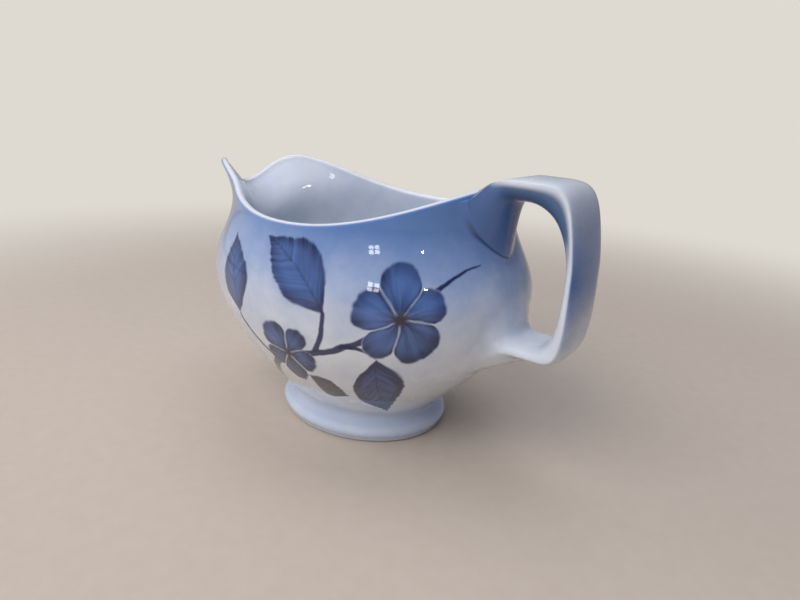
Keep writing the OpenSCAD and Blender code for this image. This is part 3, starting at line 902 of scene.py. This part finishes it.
def glazed(name):
    material = bpy.data.materials.new(name)
    material.use_nodes = True
    tree = material.node_tree
    shader = tree.nodes["Principled BSDF"]
    shader.inputs["IOR"].default_value = GLAZE_IOR
    shader.inputs["Coat Weight"].default_value = 1.0
    shader.inputs["Coat Roughness"].default_value = COAT_ROUGHNESS
    shader.inputs["Coat IOR"].default_value = GLAZE_IOR
    shader.inputs["Specular IOR Level"].default_value = BODY_SHEEN
    glaze = place_group(tree, glaze_skin)
    bump = tree.nodes.new("ShaderNodeBump")
    bump.inputs["Strength"].default_value = BUMP_STRENGTH
    bump.inputs["Distance"].default_value = BUMP_DISTANCE
    tree.links.new(glaze["Height"], bump.inputs["Height"])
    tree.links.new(bump.outputs["Normal"], shader.inputs["Normal"])
    tree.links.new(glaze["Roughness"], shader.inputs["Roughness"])
    return material, tree, shader, glaze, place_group(tree, wall_place)


print("the glaze bends light by", GLAZE_IOR)

# %% Layers that every glazed piece shares
COOL_PATCHES, SPECK_SHARE = (0.3, 0.7), 0.55


def body_colour(tree, glaze):
    return tint(tree, ease(tree, glaze["Mottle"], *COOL_PATCHES), PORCELAIN, PORCELAIN_COOL)


def spray_mask(tree, glaze, wall):
    places = {"Around": wall["Around"], "Height": wall["Height"], "Mottle": glaze["Mottle"]}
    return place_group(tree, blue_spray, **places)["Spray"]


def finish_colour(tree, shader, glaze, colour):
    finished = veil(tree, glaze["Speck"], SPECK_SHARE, colour, SPECK_COLOUR)
    tree.links.new(finished, shader.inputs["Base Color"])


def dress(piece, material):
    piece.data.materials.clear()
    piece.data.materials.append(material)
    print(piece.name, "wears", material.name)


# %% [markdown]
# ## The painted bowl
# The layers go on in the order of the workshop: bare porcelain, sprayed blue, the bough in cobalt, then the
# places where glaze and painted light change the colour. The glaze runs thin over the rim, which stays
# white with a painted highlight along its edge, and along the handle's tongue lies a dark line of pooled
# glaze and painted crease shade. Near the waist the wall turns bluer with pooled glaze and painted crease
# shade. The inside is left bare but for a breath of blue. Low on the wall, where the painter starts with a
# loaded brush, the pigment is laid on thicker.

# %% The bowl's ground and the brush
LOADED_BRUSH, LOADED_INK = (48.0, 18.0), 0.38
bowl_glaze, tree, shader, glaze, wall = glazed("painted_bowl_glaze")
ground = tint(tree, spray_mask(tree, glaze, wall), body_colour(tree, glaze), COBALT_SPRAY)
loaded = calc(tree, "MULTIPLY", ease(tree, wall["Height"], *LOADED_BRUSH), LOADED_INK)


def pigment(deep, wash, depth):
    return tint(tree, calc(tree, "ADD", depth, loaded), wash, deep)


def motif(group, middle, degrees, **sizes):
    return place_group(
        tree,
        group,
        Around=wall["Brush Around"],
        Height=wall["Brush Height"],
        At_Around=float(middle[0]),
        At_Height=float(middle[1]),
        Turn=float(np.radians(degrees)),
        **{label: float(size) for label, size in sizes.items()},
    )


print("the ground takes", len(tree.nodes), "nodes")

# %% Paint the bough
TWIG_INK, MOTIF_INK = 0.95, 0.96
colour = ground
for begin, end, bow, width, point in TWIGS:
    run = np.subtract(end, begin)
    degrees = np.degrees(np.arctan2(run[1], run[0]))
    twig = motif(painted_twig, begin, degrees, Length=np.hypot(*run), Bend=bow, Width=width, Point=point)
    colour = veil(tree, twig["Mask"], TWIG_INK, colour, COBALT_DEEP)
for middle, degrees, length, width, brown in LEAVES:
    leaf = motif(painted_leaf, middle, degrees, Length=length, Width=width)
    deep, wash = (IRON_BROWN, IRON_WASH) if brown else (COBALT_DEEP, COBALT_WASH)
    colour = veil(tree, leaf["Mask"], MOTIF_INK, colour, pigment(deep, wash, leaf["Depth"]))
for middle, degrees, radius in BLOSSOMS:
    blossom = motif(painted_blossom, middle, degrees, Radius=radius)
    petals = pigment(COBALT_DEEP, COBALT_WASH, blossom["Depth"])
    colour = tint(tree, blossom["Cover"], colour, ground)
    colour = veil(tree, blossom["Mask"], MOTIF_INK, colour, petals)
    colour = tint(tree, blossom["Heart"], colour, IRON_BROWN)
print("with the bough, the bowl's material has", len(tree.nodes), "nodes")

# %% Pooled glaze, the inside and the rim
TONGUE_POOL_AND_SHADE, FOOT_POOL_AND_SHADE, FOOT_POOL_AND_SHADE_SHARE = 0.3, (11.0, 7.0), 0.35
INSIDE, BREATH, BREATH_MORE, BREATH_LEAST = (0.6, -0.6), (-30.0, -2.0), 0.08, 0.12
RIM_OUTER, RIM_INNER, RIM_SHARE = (0.6, 0.1), (-1.6, -0.4), 0.75
depth_below = mark(tree, "below_rim")
# A thin dark line along the tongue: pooled glaze and painted crease shade.
colour = veil(tree, mark(tree, "root_pool"), TONGUE_POOL_AND_SHADE, colour, POOLED_AND_SHADE)
# Near the waist the wall turns bluer: pooled glaze and painted crease shade.
colour = veil(tree, ease(tree, wall["Height"], *FOOT_POOL_AND_SHADE), FOOT_POOL_AND_SHADE_SHARE, colour, COBALT_SPRAY)
breath = calc(tree, "MULTIPLY_ADD", ease(tree, depth_below, *BREATH), BREATH_MORE, BREATH_LEAST)
inside_colour = tint(tree, breath, body_colour(tree, glaze), COBALT_SPRAY)
colour = tint(tree, ease(tree, depth_below, *INSIDE), colour, inside_colour)
# The rim's white band: thin glaze over the edge, with a painted highlight along it.
rim_thin_glaze_and_highlight = calc(tree, "MULTIPLY", ease(tree, depth_below, *RIM_OUTER), ease(tree, depth_below, *RIM_INNER))
colour = veil(tree, rim_thin_glaze_and_highlight, RIM_SHARE, colour, RIM_WHITE_AND_HIGHLIGHT)
finish_colour(tree, shader, glaze, colour)
dress(jug_bowl, bowl_glaze)

# %% [markdown]
# ## The sprayed handle
# The handle is sprayed from the side, so blue lies on the tongue's flanks, under the top arm and on the
# outer face of the upright. Under the top arm the blue is laid darker and greyer, in part as painted shade,
# and the tongue's inner face under the arm is darkened with painted shade in deep blue. Over the top of
# the arm and along the edges the glaze runs thin and the pale body shows, and the lower lobe has caught
# hardly any colour. The marks stored on the strap and the height steer all of this.

# %% The blue of the strap
STRAP_DRIFT, LEAST_BLUE = 8.0, 0.1
UPRIGHT_LOW, UPRIGHT_HIGH, THINNING, THINNED = (32.0, 57.0), (82.0, 68.0), (55.0, 72.0), 0.45
OUTER_EDGE, INNER_EDGE, INNER_LOW = (-0.25, 0.35), (-0.02, -0.32), (57.0, 68.0)
handle_glaze, tree, shader, glaze, wall = glazed("sprayed_handle_glaze")
outer = mark(tree, "outer_face")
drifted = drifting(tree, glaze["Mottle"], STRAP_DRIFT, wall["Height"])
upright = calc(tree, "MULTIPLY", ease(tree, drifted, *UPRIGHT_LOW), ease(tree, drifted, *UPRIGHT_HIGH))
thin_above = calc(tree, "MULTIPLY_ADD", ease(tree, drifted, *THINNING), -THINNED, 1.0)
upright = calc(tree, "MULTIPLY", upright, thin_above)
outer_blue = calc(tree, "MULTIPLY", upright, ease(tree, outer, *OUTER_EDGE))
outer_blue = calc(tree, "MAXIMUM", outer_blue, LEAST_BLUE)
# Under the top arm the sprayed blue is darker and greyer: spray with painted shade in it.
inner_blue_and_shade = calc(tree, "MULTIPLY", ease(tree, drifted, *INNER_LOW), ease(tree, outer, *INNER_EDGE))
strap_colour = tint(tree, outer_blue, body_colour(tree, glaze), COBALT_HANDLE)
strap_colour = tint(tree, inner_blue_and_shade, strap_colour, COBALT_DENSE_AND_SHADE)
print("the strap's blue takes", len(tree.nodes), "nodes")

# %% The blue of the roots
ROOT_NEAR, EDGE_SHIFT, ROOT_TO_STRAP = (0.5, 0.0), 0.5, (0.25, 0.8)
TOP_EDGE, TOP_PALE = (-0.35, 0.05), 0.85
SHADE_FACE, SHADE_LOW, SHADE_SHARE = (-0.4, -0.95), (50.0, 62.0), 0.6
root_way = mark(tree, "from_root")
edge = calc(tree, "MULTIPLY_ADD", ease(tree, root_way, *ROOT_NEAR), -EDGE_SHIFT, outer)
below_top = calc(tree, "MULTIPLY_ADD", ease(tree, edge, *TOP_EDGE), -TOP_PALE, 1.0)
root_spray = calc(tree, "MULTIPLY", spray_mask(tree, glaze, wall), below_top)
root_colour = tint(tree, root_spray, body_colour(tree, glaze), COBALT_SPRAY)
# Painted shade: the tongue's inner face under the arm is darkened to deep blue where its shadow falls.
painted_shade_under_arm = calc(tree, "MULTIPLY", ease(tree, outer, *SHADE_FACE), ease(tree, wall["Height"], *SHADE_LOW))
root_colour = veil(tree, painted_shade_under_arm, SHADE_SHARE, root_colour, POOLED_AND_SHADE)
colour = tint(tree, ease(tree, root_way, *ROOT_TO_STRAP), root_colour, strap_colour)
finish_colour(tree, shader, glaze, colour)
dress(jug_handle, handle_glaze)

# %% [markdown]
# ## The foot and the slip
# The foot is white with a cool tint, partly painted shade from the bowl above it, that deepens in the crease
# under the bowl with pooled glaze and painted crease shade, and its land is bare biscuit: dry, a little
# warm, and grey from years of use. The coat is turned off there with a mask, which is how one shader can be
# glass in one place and dry clay in another. The slip takes the spray as the wall does, with a little more
# blue low down from pooled glaze and painted crease shade, and the dark line of pooled glaze and painted
# shade along the tongue.

# %% Make the foot's material
CREASE_POOL_AND_SHADE, CREASE_BLUE_AND_SHADE, FOOT_BLUE_AND_SHADE = (4.2, 6.4), 0.3, 0.34
LAND_DRIFT, LAND_EDGE, LAND_ROUGHER = 0.7, (0.55, 0.2), 0.5
BISCUIT = srgb(206, 196, 182)
BISCUIT_WORN = srgb(150, 138, 126)
foot_glaze, tree, shader, glaze, wall = glazed("foot_glaze_and_biscuit")
# The foot's cool tint is partly painted shade from the bowl above, deepening as painted crease shade.
cool_tint_and_shade = calc(tree, "MULTIPLY_ADD", ease(tree, wall["Height"], *CREASE_POOL_AND_SHADE), CREASE_BLUE_AND_SHADE, FOOT_BLUE_AND_SHADE)
colour = tint(tree, cool_tint_and_shade, body_colour(tree, glaze), COBALT_SPRAY)
bare = ease(tree, drifting(tree, glaze["Mottle"], LAND_DRIFT, wall["Height"]), *LAND_EDGE)
biscuit = tint(tree, wall["Streak"], BISCUIT, BISCUIT_WORN)
tree.links.new(calc(tree, "SUBTRACT", 1.0, bare), shader.inputs["Coat Weight"])
rough = calc(tree, "MULTIPLY_ADD", bare, LAND_ROUGHER, glaze["Roughness"])
tree.links.new(rough, shader.inputs["Roughness"])
finish_colour(tree, shader, glaze, tint(tree, bare, colour, biscuit))
dress(jug_foot_ring, foot_glaze)

# %% Make the slip's material
LOW_POOL_AND_SHADE, LOW_POOL_AND_SHADE_SHARE = (12.0, 6.0), 0.4
slip_glaze, tree, shader, glaze, wall = glazed("glazed_slip")
colour = tint(tree, spray_mask(tree, glaze, wall), body_colour(tree, glaze), COBALT_SPRAY)
# More blue low on the slip: pooled glaze and painted crease shade.
colour = veil(tree, ease(tree, wall["Height"], *LOW_POOL_AND_SHADE), LOW_POOL_AND_SHADE_SHARE, colour, COBALT_SPRAY)
# The dark line along the tongue: pooled glaze and painted crease shade.
colour = tint(tree, mark(tree, "root_pool"), colour, POOLED_AND_SHADE)
finish_colour(tree, shader, glaze, colour)
for seam in (upper_bead, lower_bead, foot_bead):
    dress(seam, slip_glaze)

# %% [markdown]
# ## The studio
# The jug stands on a plain pale floor that melts into a pale backdrop, so that no hard horizon disturbs its
# outline. The floor's colour is mixed with a plain glow by distance, and only for rays that come straight
# from the camera: the light on the jug, and what its glaze mirrors, stay those of the lamps and the room.

# %% The floor
FLOOR_RADIUS, FLOOR_CORNERS, FLOOR_FADE = 2.0, 96, (0.16, 0.42)
FLOOR_GRAIN, FLOOR_ROUGHNESS = 240.0, 0.8
BACKDROP = srgb(222, 218, 209)
FLOOR_COLOUR = srgb(192, 181, 171)
FLOOR_SHADE = srgb(184, 172, 161)


def blend_shaders(tree, factor, first, second):
    node = tree.nodes.new("ShaderNodeMixShader")
    for socket, source in zip(node.inputs, (factor, first, second)):
        tree.links.new(source, socket)
    return node.outputs[0]


bpy.ops.mesh.primitive_circle_add(
    vertices=FLOOR_CORNERS, radius=FLOOR_RADIUS, fill_type="NGON", location=(0, 0, 0)
)
floor_disc = bpy.context.object
floor_disc.name = "studio_floor"
floor_paint = bpy.data.materials.new("pale_floor")
floor_paint.use_nodes = True
tree = floor_paint.node_tree
shader = tree.nodes["Principled BSDF"]
place = tree.nodes.new("ShaderNodeTexCoord").outputs["Object"]
grain = noise(tree, place, FLOOR_GRAIN, detail=3.0)
tree.links.new(tint(tree, grain, FLOOR_COLOUR, FLOOR_SHADE), shader.inputs["Base Color"])
shader.inputs["Roughness"].default_value = FLOOR_ROUGHNESS
far = tree.nodes.new("ShaderNodeVectorMath")
far.operation = "LENGTH"
tree.links.new(place, far.inputs[0])
glow = tree.nodes.new("ShaderNodeEmission")
glow.inputs["Color"].default_value = BACKDROP
rays = tree.nodes.new("ShaderNodeLightPath")
faded = ease(tree, far.outputs["Value"], *FLOOR_FADE)
seen_fade = calc(tree, "MULTIPLY", rays.outputs["Is Camera Ray"], faded)
surface = blend_shaders(tree, seen_fade, shader.outputs[0], glow.outputs[0])
tree.links.new(surface, tree.nodes["Material Output"].inputs["Surface"])
dress(floor_disc, floor_paint)

# %% [markdown]
# ## The light
# A wide soft lamp in front gives the jug its form, a weak one on the lip's side and one overhead open the
# shadows, and the world fills in, paler towards the lip. Mirrored rays see a dimmer room, so that the glaze
# keeps its depth. It also wants something small to mirror: a little four-paned window and one bare bulb,
# both far off and weak, put the crisp glints on the belly that say glass at first sight.

# %% The world
AIR_STRENGTH, HANDLE_TO_LIP = 0.6, (0.9, -0.9)
AIR_DIM = srgb(148, 153, 168)
AIR_PALE = srgb(226, 230, 238)
ROOM_DIM = srgb(72, 70, 72)
ROOM_PALE = srgb(168, 172, 182)
world = bpy.data.worlds.new("studio_air")
bpy.context.scene.world = world
world.use_nodes = True
tree = world.node_tree
air = tree.nodes["Background"]
room_way = tree.nodes.new("ShaderNodeTexCoord").outputs["Generated"]
room_axes = tree.nodes.new("ShaderNodeSeparateXYZ")
tree.links.new(room_way, room_axes.inputs[0])
towards_lip = ease(tree, room_axes.outputs["X"], *HANDLE_TO_LIP)
tree.links.new(tint(tree, towards_lip, AIR_DIM, AIR_PALE), air.inputs["Color"])
air.inputs["Strength"].default_value = AIR_STRENGTH
room = tree.nodes.new("ShaderNodeBackground")
tree.links.new(tint(tree, towards_lip, ROOM_DIM, ROOM_PALE), room.inputs["Color"])
backdrop = tree.nodes.new("ShaderNodeBackground")
backdrop.inputs["Color"].default_value = BACKDROP
rays = tree.nodes.new("ShaderNodeLightPath")
lighting = blend_shaders(tree, rays.outputs["Is Glossy Ray"], air.outputs[0], room.outputs[0])
surface = blend_shaders(tree, rays.outputs["Is Camera Ray"], lighting, backdrop.outputs[0])
tree.links.new(surface, tree.nodes["World Output"].inputs["Surface"])
print("the world has", len(tree.nodes), "nodes")

# %% The lamps
AIM = Vector((0.0, 0.0, 0.04))
SOFT_LAMPS = [
    # name, direction from the jug, distance and size in metres, watts, colour
    ("soft_front", (-0.05, -1.0, 0.95), 0.9, 0.7, 6.2, srgb(255, 250, 244)),
    ("soft_side", (-1.0, -0.25, 0.45), 0.9, 0.5, 1.5, srgb(255, 250, 246)),
    ("soft_above", (0.0, 0.2, 1.0), 1.0, 0.6, 2.6, srgb(250, 250, 255)),
]


def lamp(name, direction, distance, size, watts, colour, mirrored=False):
    light = bpy.data.lights.new(name, "AREA")
    light.shape = "RECTANGLE"
    light.size = size
    light.size_y = size
    light.energy = watts
    light.color = colour[:3]
    holder = bpy.data.objects.new(name, light)
    holder.location = AIM + Vector(direction).normalized() * distance
    holder.rotation_euler = (AIM - holder.location).to_track_quat("-Z", "Y").to_euler()
    holder.visible_glossy = mirrored
    bpy.context.scene.collection.objects.link(holder)
    return holder


for soft_lamp in SOFT_LAMPS:
    lamp(*soft_lamp)
print("soft lamps:", [soft_lamp[0] for soft_lamp in SOFT_LAMPS])

# %% The window and the bulb
PANE, PANE_STEP, PANE_WATTS, WINDOW_FAR = 0.052, 0.066, 0.1, 1.0
BULB, BULB_WATTS, BULB_FAR = 0.024, 0.3, 1.0
WINDOW_WHITE = srgb(255, 255, 255)
BULB_WARM = srgb(255, 252, 246)
BULB_WAY = (0.73, -0.47, 0.42)
HALVES = (-0.5, 0.5)
window_way = Vector((0.33, -0.86, 0.40)).normalized()
window_right = window_way.cross(Vector((0, 0, 1))).normalized()
window_up = window_right.cross(window_way)
for column in HALVES:
    for row in HALVES:
        pane = lamp("window_pane", window_way, WINDOW_FAR, PANE, PANE_WATTS, WINDOW_WHITE, mirrored=True)
        pane.location += (window_right * column + window_up * row) * PANE_STEP
lamp("bare_bulb", BULB_WAY, BULB_FAR, BULB, BULB_WATTS, BULB_WARM, mirrored=True)

# %% [markdown]
# ## The camera
# The camera stands a hand's breadth above the floor, close in front of the handle's quarter, and looks down
# a little. Being so close, it draws the handle large and the lip small, and a slight roll is kept because
# the jug leans that way in the picture being matched.

# %% Place the camera
CAMERA_AT = Vector((115.3, -130.5, 92.6)) * MM
HEADING, PITCH, ROLL = np.radians(38.12), np.radians(18.23), np.radians(2.87)
LENS, SENSOR, CLIP_START = 27.0, 36.0, 0.005
forward = Vector((-np.sin(HEADING) * np.cos(PITCH), np.cos(HEADING) * np.cos(PITCH), -np.sin(PITCH)))
level = Vector((np.cos(HEADING), np.sin(HEADING), 0.0))
upright_axis = level.cross(forward)
right_axis = level * np.cos(ROLL) + upright_axis * np.sin(ROLL)
up_axis = upright_axis * np.cos(ROLL) - level * np.sin(ROLL)
camera_data = bpy.data.cameras.new("photo_camera")
camera_data.lens = LENS
camera_data.sensor_fit = "HORIZONTAL"
camera_data.sensor_width = SENSOR
camera_data.clip_start = CLIP_START
camera = bpy.data.objects.new("photo_camera", camera_data)
turned = Matrix((right_axis, up_axis, -forward)).transposed().to_4x4()
camera.matrix_world = Matrix.Translation(CAMERA_AT) @ turned
bpy.context.scene.collection.objects.link(camera)
bpy.context.scene.camera = camera
bpy.context.scene.view_settings.view_transform = "Standard"
print("camera at", [round(c, 3) for c in CAMERA_AT])
